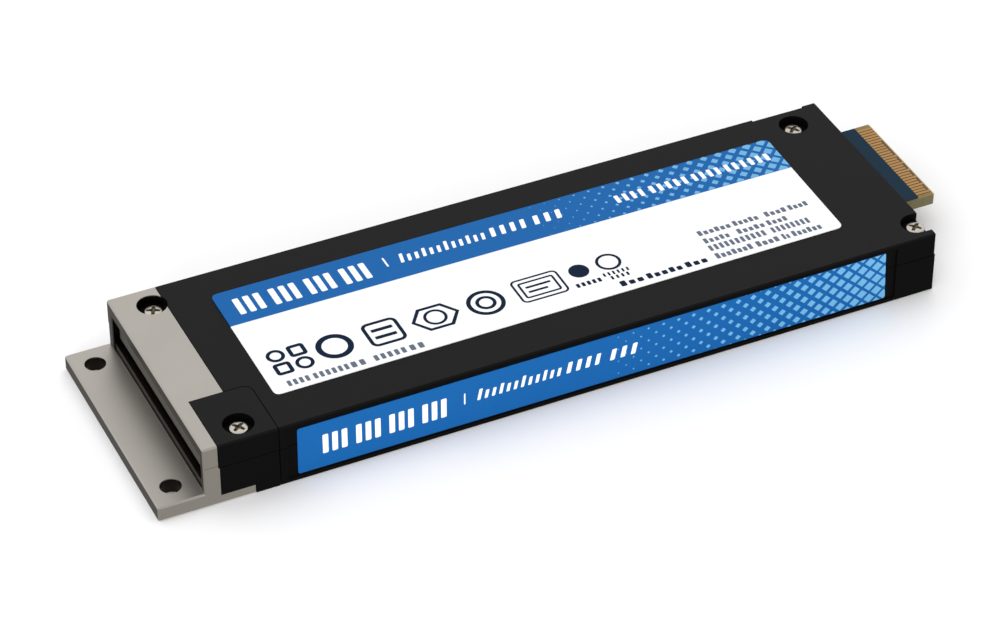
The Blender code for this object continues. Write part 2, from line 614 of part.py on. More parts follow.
def spread(count, size):
    """Middles of a row of equal parts, a chip gap apart, about the drive's centre line."""
    return [(i - (count - 1) / 2) * (size + CHIP_GAP) for i in range(count)]


def chip(name, x, y, length, width, face, height, material):
    """Chip with a dimple by pin one; a negative height hangs it from the board's lower mask."""
    z0, z1 = sorted((face, face + height))
    body = box(name, x - length / 2, x + length / 2, y - width / 2, y + width / 2, z0, z1)
    mark = (x - length / 2 + CHIP_MARK, y - width / 2 + CHIP_MARK)
    if height > 0:
        dimple = cylinder("dimple", mark, CHIP_MARK, z1 - CHIP_MARK_DEPTH, z1 + OVERCUT)
    else:
        dimple = cylinder("dimple", mark, CHIP_MARK, z0 - OVERCUT, z0 + CHIP_MARK_DEPTH)
    return dress(cut(body, dimple), material)


def make_capacitors():
    yellow = finish("tantalum_case", (196, 150, 60), 0.5)
    number = 0
    for column in range(CAPACITOR_COLUMNS):
        x = CAPACITOR_X + column * (CAPACITOR_LENGTH + CHIP_GAP)
        for y in spread(CAPACITOR_ROWS, CAPACITOR_WIDTH):
            number += 1
            outline = rounded(x, x + CAPACITOR_LENGTH, y - CAPACITOR_WIDTH / 2, y + CAPACITOR_WIDTH / 2,
                              [CAPACITOR_CORNER] * 4)
            top = UPPER_MASK + CAPACITOR_HEIGHT
            dress(prism(f"holdup_capacitor_{number}", outline, UPPER_MASK, top), yellow)


def make_power_parts(chip_black):
    ferrite = finish("ferrite", (58, 58, 60), 0.7)
    half = INDUCTOR_SIZE / 2
    for number, side in enumerate((-1, 1), 1):
        y = side * (POWER_CHIP_SIZE / 2 + CHIP_GAP + half)
        outline = rounded(POWER_X - half, POWER_X + half, y - half, y + half, [INDUCTOR_CORNER] * 4)
        dress(prism(f"inductor_{number}", outline, UPPER_MASK, UPPER_MASK + INDUCTOR_HEIGHT), ferrite)
    chip("power_chip", POWER_X, 0, POWER_CHIP_SIZE, POWER_CHIP_SIZE, UPPER_MASK, POWER_CHIP_HEIGHT,
         chip_black)


def make_controller(chip_black, pad_grey):
    """Controller on top with its thermal pad, and its two memory chips on the board's other side."""
    chip("controller_chip", CONTROLLER_X, 0, CONTROLLER_SIZE, CONTROLLER_SIZE, UPPER_MASK, CONTROLLER_HEIGHT,
         chip_black)
    half = CONTROLLER_SIZE / 2
    dress(box("controller_pad", CONTROLLER_X - half, CONTROLLER_X + half, -half, half,
              UPPER_MASK + CONTROLLER_HEIGHT, COVER_UNDERSIDE), pad_grey)
    for number, y in enumerate(spread(2, MEMORY_WIDTH), 1):
        chip(f"memory_chip_{number}", CONTROLLER_X, y, MEMORY_LENGTH, MEMORY_WIDTH, LOWER_MASK,
             -MEMORY_HEIGHT, chip_black)


def make_flash(chip_black, pad_grey):
    """Flash chips on both faces of the board, each group under a pad that carries its heat to the case."""
    starts = [FLASH_X + column * (FLASH_LENGTH + CHIP_GAP) for column in range(FLASH_COLUMNS)]
    rows = spread(2, FLASH_WIDTH)
    sides = (("upper", UPPER_MASK, FLASH_HEIGHT), ("lower", LOWER_MASK, -FLASH_HEIGHT))
    for side_name, face, height in sides:
        number = 0
        for start in starts:
            for y in rows:
                number += 1
                chip(f"flash_{side_name}_{number}", start + FLASH_LENGTH / 2, y, FLASH_LENGTH, FLASH_WIDTH,
                     face, height, chip_black)
        z0, z1 = sorted((face + height, COVER_UNDERSIDE if height > 0 else FLOOR_PLATE))
        dress(box(f"flash_pad_{side_name}", starts[0], starts[-1] + FLASH_LENGTH,
                  rows[0] - FLASH_WIDTH / 2, rows[-1] + FLASH_WIDTH / 2, z0, z1), pad_grey)


# Screws

def make_screw(name, centre, turn, nickel):
    """Pan head screw with a cross recess; its head rests on the counterbore's floor."""
    x, y = centre
    edge_z = SEAT_Z + HEAD_HEIGHT - HEAD_DOME
    rings = [(SHANK / 4, SCREW_END_HEIGHT), (SHANK / 2, SCREW_END_HEIGHT + SHANK / 4), (SHANK / 2, SEAT_Z),
             (HEAD / 2, SEAT_Z), (HEAD / 2, edge_z)]
    for step in range(1, DOME_RINGS):
        a = math.pi / 2 * step / DOME_RINGS
        rings.append((HEAD / 2 * math.cos(a), edge_z + HEAD_DOME * math.sin(a)))
    body = loft(name, [[(px, py, z) for px, py in circle(x, y, radius)] for radius, z in rings])
    bottom = SEAT_Z + HEAD_HEIGHT - RECESS_DEPTH
    slots = []
    for quarter in range(2):
        a = turn + quarter * math.pi / 2
        ux, uy = math.cos(a) * RECESS_SPAN / 2, math.sin(a) * RECESS_SPAN / 2
        vx, vy = -math.sin(a) * RECESS_SLOT / 2, math.cos(a) * RECESS_SLOT / 2
        outline = [(x - ux - vx, y - uy - vy), (x + ux - vx, y + uy - vy),
                   (x + ux + vx, y + uy + vy), (x - ux + vx, y - uy + vy)]
        slots.append(prism("recess", outline, bottom, SEAT_Z + HEAD_HEIGHT + OVERCUT))
    return dress(cut(body, *slots), nickel)


# Labels

def make_labels():
    x0 = FRONT_X + TOP_LABEL_START
    x1 = END_X - TOP_LABEL_SETBACK
    y0 = TOP_LABEL_NEAR_INSET - SIDE_Y
    y1 = SIDE_Y - TOP_LABEL_FAR_INSET
    r = TOP_LABEL_CORNER
    sheet = prism("top_label", rounded(x0, x1, y0, y1, [r] * 4), CASE_HEIGHT, CASE_HEIGHT + LABEL_SHEET)
    dress(sheet, finish("white_label", (240, 240, 240), 0.45))
    band = prism("top_label_band", rounded(x0, x1, y1 - BAND_WIDTH, y1, (0, 0, r, r)),
                 CASE_HEIGHT + LABEL_SHEET, CASE_HEIGHT + LABEL_SHEET + BAND_SHEET)
    blue = finish("blue_label", (42, 108, 184), 0.45)
    dress(band, blue)
    outline = rounded(RECESS_START_X + SIDE_LABEL_END_MARGIN, RECESS_END_X - SIDE_LABEL_END_MARGIN,
                      LABEL_RECESS_LOWER + SIDE_LABEL_LOWER_MARGIN,
                      CASE_HEIGHT - LABEL_RECESS_UPPER - SIDE_LABEL_UPPER_MARGIN, [SIDE_LABEL_CORNER] * 4)
    back = -SIDE_Y + LABEL_RECESS_DEPTH
    dress(side_profile("side_label", outline, back - LABEL_SHEET, back), blue)


def build():
    for obj in list(bpy.data.objects):
        bpy.data.objects.remove(obj)
    black = finish("black_case", (38, 37, 37), 0.5, 0.3)
    chip_black = finish("chip_black", (26, 26, 28), 0.55)
    pad_grey = finish("pad_grey", (150, 156, 165), 0.9)
    gold = finish("gold_plating", (212, 165, 88), 0.28, 1.0)
    nickel = finish("nickel_screw", (205, 200, 192), 0.25, 1.0)
    make_end_bracket()
    make_top_cover(black)
    make_bottom_case(black)
    make_corner_cap(black)
    make_corner_base(black)
    make_circuit_board()
    make_mask("solder_mask_upper", BOARD_TOP, UPPER_MASK, BOARD_TOP)
    make_mask("solder_mask_lower", LOWER_MASK, BOARD_UNDERSIDE, BOARD_UNDERSIDE)
    make_fingers("contact_fingers_upper", BOARD_TOP, BOARD_TOP + FINGER_THICKNESS, gold)
    make_fingers("contact_fingers_lower", BOARD_UNDERSIDE - FINGER_THICKNESS, BOARD_UNDERSIDE, gold)
    make_capacitors()
    make_power_parts(chip_black)
    make_controller(chip_black, pad_grey)
    make_flash(chip_black, pad_grey)
    for name, centre, turn in (("bracket_screw", BRACKET_SCREW, 65), ("block_screw", BLOCK_SCREW, 36),
                               ("far_end_screw", FAR_END_SCREW, 38), ("near_end_screw", NEAR_END_SCREW, 40)):
        make_screw(name, centre, math.radians(turn), nickel)
    make_labels()


build()
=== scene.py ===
import math

import bmesh
import bpy
import numpy as np
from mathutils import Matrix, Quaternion, Vector


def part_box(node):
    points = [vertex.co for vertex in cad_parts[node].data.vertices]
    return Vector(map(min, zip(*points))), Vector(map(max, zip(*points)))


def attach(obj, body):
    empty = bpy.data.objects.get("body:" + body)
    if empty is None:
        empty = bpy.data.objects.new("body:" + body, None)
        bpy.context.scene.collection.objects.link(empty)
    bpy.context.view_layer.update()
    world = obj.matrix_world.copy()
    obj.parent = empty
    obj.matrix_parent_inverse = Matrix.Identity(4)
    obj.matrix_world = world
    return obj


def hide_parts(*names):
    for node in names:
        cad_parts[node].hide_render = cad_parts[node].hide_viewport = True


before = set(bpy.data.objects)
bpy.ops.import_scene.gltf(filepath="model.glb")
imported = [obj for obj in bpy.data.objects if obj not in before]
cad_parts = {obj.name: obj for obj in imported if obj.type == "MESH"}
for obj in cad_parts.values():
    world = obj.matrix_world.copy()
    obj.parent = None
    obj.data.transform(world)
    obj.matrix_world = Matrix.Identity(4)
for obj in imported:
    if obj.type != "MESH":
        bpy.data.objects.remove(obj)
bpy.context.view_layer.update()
print("frame loaded:", len(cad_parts), "nodes")

mm = 0.001
scene = bpy.context.scene


def hexToLinear(code):  # sRGB hex to the linear colour that the shaders take
    channels = np.array([int(code[i:i + 2], 16) for i in (1, 3, 5)]) / 255.0
    linear = np.where(channels <= 0.04045, channels / 12.92, ((channels + 0.055) / 1.055) ** 2.4)
    return (*linear.tolist(), 1.0)


def fill(tree, node, sockets):  # a value sets a socket, another node's socket is linked to it
    for name, value in sockets.items():
        if isinstance(value, bpy.types.NodeSocket):
            tree.links.new(value, node.inputs[name])
        else:
            node.inputs[name].default_value = value
    return node


def addNode(tree, kind, attributes, sockets):  # a node with its settings, values and links
    node = tree.nodes.new(kind)
    for name, value in attributes.items():
        setattr(node, name, value)
    return fill(tree, node, sockets)


def newMaterial(name):  # empty node tree with a Principled shader on the output
    material = bpy.data.materials.new(name)
    material.use_nodes = True
    tree = material.node_tree
    tree.nodes.clear()
    shader = addNode(tree, "ShaderNodeBsdfPrincipled", {}, {})
    addNode(tree, "ShaderNodeOutputMaterial", {}, {"Surface": shader.outputs["BSDF"]})
    return material, tree, shader


def dress(obj, material):
    obj.data.materials.clear()
    obj.data.materials.append(material)


def meshPiece(name, verts, faces, material, slot):  # vertices in metres, placed where they belong
    mesh = bpy.data.meshes.new(name)
    mesh.from_pydata(np.asarray(verts).tolist(), [], [list(map(int, f)) for f in faces])
    mesh.validate()
    obj = bpy.data.objects.new(name, mesh)
    scene.collection.objects.link(obj)
    dress(obj, material)
    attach(obj, "root")
    return obj


def boxOf(node):  # low and high corner of a node, in mm
    low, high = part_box(node)
    return np.array(low) / mm, np.array(high) / mm


# camera and light

camera = {
    "eye": (-173.198, -358.239, 314.595),  # mm
    "azimuth": -25.2467,                   # degrees, 0 looks along +Y
    "elevation": 38.2042,
    "roll": 0.0252,
    "lens": 136.93,                        # mm on a 36 mm sensor
}


def makeCamera():
    data = bpy.data.cameras.new("studio_camera")
    data.lens = camera["lens"]
    data.sensor_width = 36.0
    data.clip_start, data.clip_end = 0.01, 20.0
    obj = bpy.data.objects.new("studio_camera", data)
    scene.collection.objects.link(obj)
    a, e = math.radians(camera["azimuth"]), math.radians(camera["elevation"])
    away = Vector((math.sin(a) * math.cos(e), -math.cos(a) * math.cos(e), math.sin(e)))
    roll = Quaternion((0, 0, 1), math.radians(camera["roll"]))
    obj.rotation_mode = "QUATERNION"
    obj.rotation_quaternion = (-away).to_track_quat("-Z", "Y") @ roll
    obj.location = Vector(camera["eye"]) * mm
    scene.camera = obj


studio = {
    "sky": "#F8F8F9",
    "skyNear": 0.85,               # strength behind the camera and beyond the drive
    "skyFar": 1.12,
    "ground": "#F3F1EE",           # what glossy faces see below the horizon
    "groundStrength": 0.6,
    "floor": "#FFFFFF",
    "floorHalf": 3000,             # mm, half of its side
    "floorDrop": 0.02,             # mm, how far it lies under the part
}
softboxes = {                      # place in mm, size in mm, watts
    "overhead": ((-60, 40, 420), 420, 0.2),
    "front_left": ((-330, -420, 120), 300, 1.3),
    "rim": ((260, 300, 200), 260, 0.12),
}


def makeLight():
    # An even bright room: a sky that is brighter beyond the drive, over a dimmer ground.
    world = bpy.data.worlds.new("studio_world")
    world.use_nodes = True
    tree = world.node_tree
    tree.nodes.clear()
    place = addNode(tree, "ShaderNodeTexCoord", {}, {})
    axes = addNode(tree, "ShaderNodeSeparateXYZ", {}, {"Vector": place.outputs["Generated"]})
    above = addNode(tree, "ShaderNodeMapRange", {"interpolation_type": "SMOOTHSTEP"},
                    {"Value": axes.outputs["Z"], "From Min": -0.12, "From Max": 0.12})
    strength = addNode(tree, "ShaderNodeMapRange", {"interpolation_type": "SMOOTHSTEP"},
                       {"Value": axes.outputs["Y"], "From Min": -0.4, "From Max": 0.4,
                        "To Min": studio["skyNear"], "To Max": studio["skyFar"]})
    sky = addNode(tree, "ShaderNodeBackground", {},
                  {"Color": hexToLinear(studio["sky"]), "Strength": strength.outputs["Result"]})
    ground = addNode(tree, "ShaderNodeBackground", {},
                     {"Color": hexToLinear(studio["ground"]), "Strength": studio["groundStrength"]})
    both = addNode(tree, "ShaderNodeMixShader", {},
                   {0: above.outputs["Result"], 1: ground.outputs[0], 2: sky.outputs[0]})
    addNode(tree, "ShaderNodeOutputWorld", {}, {"Surface": both.outputs["Shader"]})
    scene.world = world
    for name, (place, size, watts) in softboxes.items():
        data = bpy.data.lights.new(name, "AREA")
        data.shape = "DISK"
        data.size = size * mm
        data.energy = watts
        obj = bpy.data.objects.new(name, data)
        scene.collection.objects.link(obj)
        obj.location = Vector(place) * mm
        obj.rotation_euler = (-Vector(place)).to_track_quat("-Z", "Y").to_euler()
        obj.visible_glossy = False  # the satin steel then shows one even tone


def makeFloor():
    material, tree, shader = newMaterial("studio_floor_paper")
    fill(tree, shader, {"Base Color": hexToLinear(studio["floor"]), "Roughness": 0.9, "Specular IOR Level": 0.1})
    half = studio["floorHalf"] * mm
    mesh = bpy.data.meshes.new("studio_floor")
    mesh.from_pydata([(-half, -half, 0), (half, -half, 0), (half, half, 0), (-half, half, 0)], [], [(0, 1, 2, 3)])
    floor = bpy.data.objects.new("studio_floor", mesh)
    scene.collection.objects.link(floor)
    floor.location.z = -studio["floorDrop"] * mm
    dress(floor, material)
    floor.visible_glossy = False


makeCamera()
makeLight()
makeFloor()
scene.view_settings.view_transform = "Standard"
print("camera, lights and floor ready")


# finishes

def grainBump(tree, place, size, height):  # fine surface grain; size and height in mm
    noise = addNode(tree, "ShaderNodeTexNoise", {},
                    {"Vector": place.outputs["Object"], "Scale": 1.0 / (size * mm), "Detail": 2.0})
    bump = addNode(tree, "ShaderNodeBump", {},
                   {"Height": noise.outputs["Fac"], "Distance": height * mm, "Strength": 1.0})
    return noise, bump


def toneShift(tree, place, size, dark, light):  # slow drift between two close tones; size in mm
    noise = addNode(tree, "ShaderNodeTexNoise", {},
                    {"Vector": place.outputs["Object"], "Scale": 1.0 / (size * mm), "Detail": 3.0})
    return blend(tree, noise.outputs["Fac"], hexToLinear(dark), hexToLinear(light))


def blend(tree, factor, first, second):  # colour between two colours or sockets
    mix = addNode(tree, "ShaderNodeMix", {"data_type": "RGBA"}, {"Factor": factor, 6: first, 7: second})
    return mix.outputs[2]


def combine(tree, operation, first, second):
    return addNode(tree, "ShaderNodeMath", {"operation": operation}, {0: first, 1: second}).outputs[0]


def boxMask(tree, axes, low, high):  # 1 inside a box given in mm
    inside = [addNode(tree, "ShaderNodeMath", {"operation": "COMPARE"},
                      {0: axes.outputs[axis], 1: (a + b) / 2 * mm, 2: (b - a) / 2 * mm}).outputs[0]
              for axis, a, b in zip("XYZ", low, high)]
    return combine(tree, "MULTIPLY", combine(tree, "MULTIPLY", inside[0], inside[1]), inside[2])


def boreMask(tree, place, axes, centre, radius, top):  # 1 inside an upright bore, up to the level top, mm
    flat = addNode(tree, "ShaderNodeVectorMath", {"operation": "MULTIPLY"},
                   {0: place.outputs["Object"], 1: (1.0, 1.0, 0.0)})
    away = addNode(tree, "ShaderNodeVectorMath", {"operation": "DISTANCE"},
                   {0: flat.outputs[0], 1: (centre[0] * mm, centre[1] * mm, 0.0)})
    near = combine(tree, "LESS_THAN", away.outputs["Value"], radius * mm)
    return combine(tree, "MULTIPLY", near, combine(tree, "LESS_THAN", axes.outputs["Z"], top * mm))


bracketInside = {                  # mm, the hollows that painted shade darkens, and a joint line
    "window": ((-52.9, -15.98, 3.2), (-46.0, 15.33, 8.4)),
    "sill": ((-52.95, -16.1, 2.1), (-52.7, 15.5, 3.4)),
    "counterbore": ((-48.055, 13.3), 2.2, 9.22),      # centre, radius, level of its mouth
    "flangeHoles": (((-56.325, 13.475), 1.6, 2.08), ((-56.325, -13.475), 1.6, 2.08)),
    "joint": ((-53.2, -17.0, 6.16), (-50.0, -16.8, 6.24)),
}


def blastedSteel():
    # Bead-blasted stainless steel: warm grey satin with soft wide reflections. Painted shade darkens the faces that
    # look along -X, and the hollows: the window, the sill, the counterbore and the flange holes.
    material, tree, shader = newMaterial("blasted_stainless_steel")
    place = addNode(tree, "ShaderNodeTexCoord", {}, {})
    axes = addNode(tree, "ShaderNodeSeparateXYZ", {}, {"Vector": place.outputs["Object"]})
    tone = toneShift(tree, place, 9.0, "#AFAAA2", "#B7B2AA")
    normal = addNode(tree, "ShaderNodeNewGeometry", {}, {})
    facing = addNode(tree, "ShaderNodeSeparateXYZ", {}, {"Vector": normal.outputs["Normal"]})
    # painted shade: faces that look along -X are darkened towards #403C38
    paintedFrontShade = addNode(tree, "ShaderNodeMapRange", {},
                    {"Value": facing.outputs["X"], "From Min": -0.8, "From Max": -0.95})
    tone = blend(tree, paintedFrontShade.outputs["Result"], tone, hexToLinear("#403C38"))
    # painted shade: the window, sill, counterbore and flange holes are darkened to #26211C
    paintedHollowShade = combine(tree, "MAXIMUM", boxMask(tree, axes, *bracketInside["window"]),
                     boxMask(tree, axes, *bracketInside["sill"]))
    for centre, radius, top in (bracketInside["counterbore"], *bracketInside["flangeHoles"]):
        paintedHollowShade = combine(tree, "MAXIMUM", paintedHollowShade, boreMask(tree, place, axes, centre, radius, top))
    joint = boxMask(tree, axes, *bracketInside["joint"])
    tone = blend(tree, joint, tone, hexToLinear("#7E7A73"))
    tone = blend(tree, paintedHollowShade, tone, hexToLinear("#26211C"))
    noise, bump = grainBump(tree, place, 0.16, 0.005)
    rough = addNode(tree, "ShaderNodeMapRange", {}, {"Value": noise.outputs["Fac"], "To Min": 0.38, "To Max": 0.46})
    fill(tree, shader, {"Base Color": tone, "Metallic": 1.0, "Roughness": rough.outputs["Result"],
                        "Normal": bump.outputs["Normal"]})
    return material


def blackCoat():
    # Black powder coat on die-cast metal: near black and matt, with a fine grain that only shows close up. Its
    # specular level falls on the upright sides, painted shade that makes them look a shade darker than the top.
    material, tree, shader = newMaterial("black_powder_coat")
    place = addNode(tree, "ShaderNodeTexCoord", {}, {})
    noise, bump = grainBump(tree, place, 0.2, 0.005)
    rough = addNode(tree, "ShaderNodeMapRange", {}, {"Value": noise.outputs["Fac"], "To Min": 0.46, "To Max": 0.58})
    normal = addNode(tree, "ShaderNodeNewGeometry", {}, {})
    facing = addNode(tree, "ShaderNodeSeparateXYZ", {}, {"Vector": normal.outputs["Normal"]})
    # painted shade: less specular level where the face turns away from up
    paintedSideShade = addNode(tree, "ShaderNodeMapRange", {}, {"Value": facing.outputs["Z"], "To Min": 0.045, "To Max": 0.134})
    fill(tree, shader, {"Base Color": toneShift(tree, place, 6.0, "#080707", "#0B0A0A"),
                        "Roughness": rough.outputs["Result"], "Specular IOR Level": paintedSideShade.outputs["Result"],
                        "Normal": bump.outputs["Normal"]})
    return material


def printedSheet(name, dark, light, roughness, specular):  # printed vinyl: even colour with a faint orange-peel gloss
    material, tree, shader = newMaterial(name)
    place = addNode(tree, "ShaderNodeTexCoord", {}, {})
    bump = grainBump(tree, place, 0.5, 0.0012)[1]
    fill(tree, shader, {"Base Color": toneShift(tree, place, 4.0, dark, light), "Roughness": roughness,
                        "Specular IOR Level": specular, "Normal": bump.outputs["Normal"]})
    return material


def goldPlate():  # hard gold over nickel: warm brownish satin, with faint lengthwise insertion marks
    material, tree, shader = newMaterial("hard_gold_plating")
    place = addNode(tree, "ShaderNodeTexCoord", {}, {})
    stretched = addNode(tree, "ShaderNodeMapping", {}, {"Vector": place.outputs["Object"], "Scale": (0.12, 1.0, 1.0)})
    marks = addNode(tree, "ShaderNodeTexNoise", {},
                    {"Vector": stretched.outputs["Vector"], "Scale": 1.0 / (0.12 * mm), "Detail": 2.0})
    rough = addNode(tree, "ShaderNodeMapRange", {}, {"Value": marks.outputs["Fac"], "To Min": 0.3, "To Max": 0.44})
    tone = blend(tree, marks.outputs["Fac"], hexToLinear("#AA8250"), hexToLinear("#B68F5C"))
    fill(tree, shader, {"Base Color": tone, "Metallic": 1.0, "Roughness": rough.outputs["Result"]})
    return material


def solderMaskInk():  # dark blue solder mask over a glass weave that shows through as a fine check
    material, tree, shader = newMaterial("blue_solder_mask")
    place = addNode(tree, "ShaderNodeTexCoord", {}, {})
    axes = addNode(tree, "ShaderNodeSeparateXYZ", {}, {"Vector": place.outputs["Object"]})
    waves = []
    for axis in ("X", "Y"):  # glass cloth threads, 0.45 mm apart
        phase = combine(tree, "MULTIPLY", axes.outputs[axis], 2 * math.pi / (0.45 * mm))
        waves.append(combine(tree, "SINE", phase, 0.0))
    weave = combine(tree, "MULTIPLY", *waves)
    mixed = addNode(tree, "ShaderNodeMapRange", {}, {"Value": weave, "From Min": -1.0})
    tone = blend(tree, mixed.outputs["Result"], hexToLinear("#06283A"), hexToLinear("#092F44"))
    bump = addNode(tree, "ShaderNodeBump", {}, {"Height": weave, "Distance": 0.002 * mm})
    fill(tree, shader, {"Base Color": tone, "Roughness": 0.4, "Specular IOR Level": 0.08,
                        "Normal": bump.outputs["Normal"]})
    return material


boardTones = {                     # mm and colours of the bare laminate
    "faces": (3.9, 5.45),          # levels between which the sawn edge shows
    "fingers": ((56.0, -3.9, 0.0), (59.1, 12.9, 9.0)),  # box round the fingers, brown in the gaps between them
    "tip": 59.1,                   # the bevelled tip begins here
    "windowEnd": -51.5,            # the plated end that shows in the bracket's window
}


def laminate():
    # Glass-epoxy: straw olive sawn edges with thin darker plies, a tan face that is brown between the gold, and a
    # grey plated end.
    material, tree, shader = newMaterial("glass_epoxy_laminate")
    place = addNode(tree, "ShaderNodeTexCoord", {}, {})
    axes = addNode(tree, "ShaderNodeSeparateXYZ", {}, {"Vector": place.outputs["Object"]})
    phase = combine(tree, "MULTIPLY", axes.outputs["Z"], 2 * math.pi / (0.2 * mm))  # plies 0.2 mm apart
    ply = combine(tree, "SINE", phase, 0.0)
    fibres = addNode(tree, "ShaderNodeTexNoise", {},
                     {"Vector": place.outputs["Object"], "Scale": 1.0 / (0.18 * mm), "Detail": 3.0})
    both = combine(tree, "ADD", combine(tree, "MULTIPLY", ply, 0.2), fibres.outputs["Fac"])
    tone = blend(tree, both, hexToLinear("#686242"), hexToLinear("#958D69"))
    low, high = boardTones["faces"]
    middle, half = (low + high) / 2 * mm, (high - low) / 2 * mm
    sawn = addNode(tree, "ShaderNodeMath", {"operation": "COMPARE"}, {0: axes.outputs["Z"], 1: middle, 2: half})
    face = blend(tree, boxMask(tree, axes, *boardTones["fingers"]), hexToLinear("#8E7648"), hexToLinear("#5A4630"))
    tone = blend(tree, sawn.outputs[0], face, tone)
    tip = combine(tree, "GREATER_THAN", axes.outputs["X"], boardTones["tip"] * mm)
    tone = blend(tree, tip, tone, hexToLinear("#A89262"))
    end = combine(tree, "LESS_THAN", axes.outputs["X"], boardTones["windowEnd"] * mm)
    tone = blend(tree, end, tone, hexToLinear("#56534E"))
    bump = addNode(tree, "ShaderNodeBump", {}, {"Height": fibres.outputs["Fac"], "Distance": 0.006 * mm})
    fill(tree, shader, {"Base Color": tone, "Roughness": 0.62, "Specular IOR Level": 0.25,
                        "Normal": bump.outputs["Normal"]})
    return material


def nickelPlate():  # nickel on a steel screw: pale and slightly warm; the punched cross carries painted shade, darker with a brown cast
    material, tree, shader = newMaterial("bright_nickel_plating")
    place = addNode(tree, "ShaderNodeTexCoord", {}, {})
    # painted shade: the recess attribute darkens the cross in step with its depth
    recessShade = addNode(tree, "ShaderNodeAttribute", {"attribute_name": "recess"}, {})
    tone = blend(tree, recessShade.outputs["Fac"], hexToLinear("#C6C1B6"), hexToLinear("#5C5440"))
    noise, bump = grainBump(tree, place, 0.1, 0.003)
    rough = addNode(tree, "ShaderNodeMapRange", {}, {"Value": noise.outputs["Fac"], "To Min": 0.22, "To Max": 0.34})
    fill(tree, shader, {"Base Color": tone, "Metallic": 1.0, "Roughness": rough.outputs["Result"],
                        "Normal": bump.outputs["Normal"]})
    return material


def mouldedPart(name, dark, light, roughness, grain):  # small moulded or sintered parts on the board
    material, tree, shader = newMaterial(name)
    place = addNode(tree, "ShaderNodeTexCoord", {}, {})
    bump = grainBump(tree, place, grain, 0.006)[1]
    fill(tree, shader, {"Base Color": toneShift(tree, place, 1.5, dark, light), "Roughness": roughness,
                        "Specular IOR Level": 0.35, "Normal": bump.outputs["Normal"]})
    return material


steel = blastedSteel()
coat = blackCoat()
whiteVinyl = printedSheet("white_vinyl", "#F4F5F6", "#F9FAFB", 0.5, 0.2)
blueVinyl = printedSheet("blue_printed_vinyl", "#115EA2", "#1361A6", 0.45, 0.08)
paleInk = printedSheet("pale_blue_ink", "#6BACD6", "#71B1DB", 0.45, 0.08)
whiteInk = printedSheet("white_ink", "#F4F6F8", "#FAFBFC", 0.45, 0.2)
navyInk = printedSheet("navy_ink", "#061A30", "#081F38", 0.45, 0.05)
slateInk = printedSheet("slate_ink", "#5E6878", "#656F7F", 0.45, 0.1)
gold = goldPlate()
mask = solderMaskInk()
board = laminate()
nickel = nickelPlate()
epoxy = mouldedPart("moulded_chip_epoxy", "#1A1A1C", "#222225", 0.55, 0.12)
tantalum = mouldedPart("yellow_tantalum_case", "#B98F3C", "#C79D49", 0.5, 0.15)
ferrite = mouldedPart("sintered_ferrite", "#37383B", "#424347", 0.7, 0.1)
pad = mouldedPart("silicone_thermal_pad", "#8A929E", "#98A0AC", 0.85, 0.25)
print("finishes ready")


# casings: the frame's shapes with their sharp edges eased

casings = {                        # node: (finish, slot, edge radius in mm)
    "end_bracket": (steel, "satin_bracket", 0.07),
    "top_cover": (coat, "black_case", 0.08),
    "bottom_case": (coat, "black_case", 0.08),
    "corner_cap": (coat, "black_case", 0.08),
    "corner_base": (coat, "black_case", 0.08),
}


def easedCopy(node, material, slot, radius):  # copy of a node, merged, flat faces joined, then narrow rounded edges
    mesh = bpy.data.meshes.new(node + "_eased")
    work = bmesh.new()
    work.from_mesh(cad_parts[node].data)
    bmesh.ops.remove_doubles(work, verts=work.verts, dist=0.001 * mm)
    bmesh.ops.dissolve_limit(work, angle_limit=math.radians(0.2), verts=work.verts, edges=work.edges)
    work.to_mesh(mesh)
    work.free()
    mesh.shade_smooth()
    obj = bpy.data.objects.new(node + "_eased", mesh)
    scene.collection.objects.link(obj)
    dress(obj, material)
    bevel = obj.modifiers.new("eased edges", "BEVEL")
    bevel.width = radius * mm
    bevel.segments = 2
    bevel.limit_method = "ANGLE"
    bevel.angle_limit = math.radians(35)
    flat = obj.modifiers.new("flat faces", "WEIGHTED_NORMAL")  # large faces keep one even tone
    flat.mode = "FACE_AREA"
    flat.weight = 100
    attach(obj, "root")
    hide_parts(node)


for node, (material, slot, radius) in casings.items():
    easedCopy(node, material, slot, radius)
print("casings ready")


# nodes that keep their shape and get their finish

finishes = {
    "circuit_board": board, "solder_mask_upper": mask, "solder_mask_lower": mask,
    "contact_fingers_upper": gold, "contact_fingers_lower": gold,
}
for name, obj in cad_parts.items():
    if name in finishes:
        dress(obj, finishes[name])
    elif name.startswith("holdup_capacitor"):
        dress(obj, tantalum)
    elif name.startswith("inductor"):
        dress(obj, ferrite)
    elif "_pad" in name:
        dress(obj, pad)
    elif "chip" in name or name.startswith("flash"):
        dress(obj, epoxy)
print("board parts dressed")


# screws

screws = {                         # node: turn of its cross in degrees, and how far its head sits off centre, mm
    "bracket_screw": (65, (0.1, -0.1, -0.3)),
    "block_screw": (36, (0.0, 0.0, 0.0)),
    "far_end_screw": (38, (0.0, 0.0, -0.2)),
    "near_end_screw": (40, (0.0, 0.0, 0.0)),
}
screwShape = {                     # mm
    "head": 0.84,                  # height over the seat
    "rim": 0.6,                    # straight part of that height
    "shank": 0.8,                  # radius
    "pitch": 0.35,
    "threadDepth": 0.12,
    "crossWidth": 0.5,             # of each wing at its mouth
    "crossSpan": 1.85,             # from wing end to wing end
    "crossDepth": 0.42,            # at the middle
    "crossSlope": (0.06, 0.07),    # width of the recess' sloping sides and ends
    "domePower": 3.2,              # flatness of the head's middle
    "threadFrom": 0.5,             # thread begins this far under the head
    "threadFade": 0.3,
    "point": 0.4,                  # height of the tapered end
    "headRings": 60,
    "around": 144,                 # points round the axis
    "along": 200,                  # rings down the shank
}


